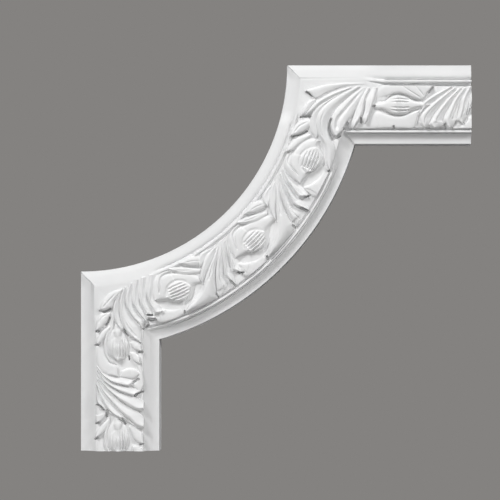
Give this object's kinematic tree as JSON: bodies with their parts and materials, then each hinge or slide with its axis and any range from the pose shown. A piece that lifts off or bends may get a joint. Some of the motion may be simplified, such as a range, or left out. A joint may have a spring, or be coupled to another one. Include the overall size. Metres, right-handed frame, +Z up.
{
  "type": "moulding corner piece",
  "caption": "Carved wall moulding corner: straight legs joined by a concave quarter arc, with acanthus leaves and seed pods between beads and coves.",
  "frame": {"origin": "on the flat back, in the middle of the arc's band on the 45 degree diagonal", "axes": "+Z up along the side leg, +X along the top leg towards its cut end, +Y out of the flat back, so the carved front faces -Y"},
  "size_m": [0.4, 0.0228, 0.395],
  "materials": {
    "primed_polyurethane": "matte white primer over dense moulded foam"
  },
  "bodies": {
    "root": {"moulding_corner": "primed_polyurethane"}
  },
  "joints": []
}
